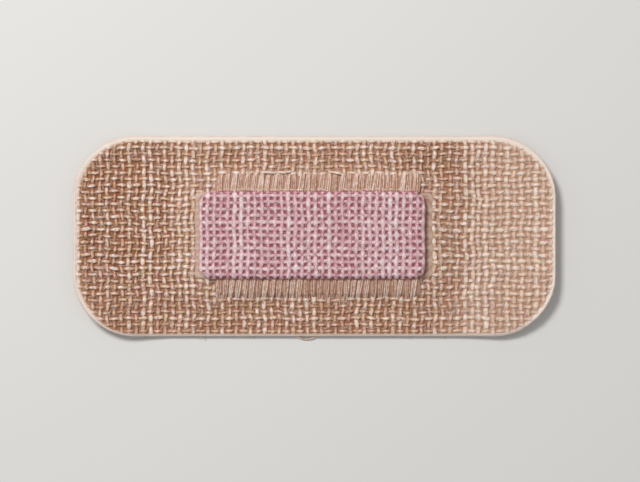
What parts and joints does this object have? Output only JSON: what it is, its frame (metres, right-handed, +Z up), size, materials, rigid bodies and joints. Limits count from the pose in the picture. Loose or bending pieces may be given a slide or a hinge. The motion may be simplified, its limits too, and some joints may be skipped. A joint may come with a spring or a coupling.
{
  "type": "adhesive bandage",
  "caption": "Woven adhesive bandage with round corners and a gauze-faced absorbent pad, laid dressing side up.",
  "frame": {"origin": "on the surface that the bandage lies on, under the middle of its outline", "axes": "+X along the strip's length, +Y across it, +Z up, out of the dressing side"},
  "size_m": [0.06, 0.025, 0.0023],
  "materials": {
    "backing_cloth": "beige plain-weave cotton cloth with a pressed pale rim",
    "adhesive": "thin tacky skin of adhesive, smooth with a soft sheen",
    "wadding": "soft matt cotton wadding",
    "gauze": "pink open-weave gauze, matt and fuzzy",
    "loose_thread": "fine cream cotton threads, side by side"
  },
  "bodies": {
    "root": {"backing_cloth": "backing_cloth", "adhesive_bed": "adhesive", "absorbent_pad": "wadding", "pad_gauze": "gauze", "upper_thread_band": "loose_thread", "lower_thread_band": "loose_thread"}
  },
  "joints": []
}
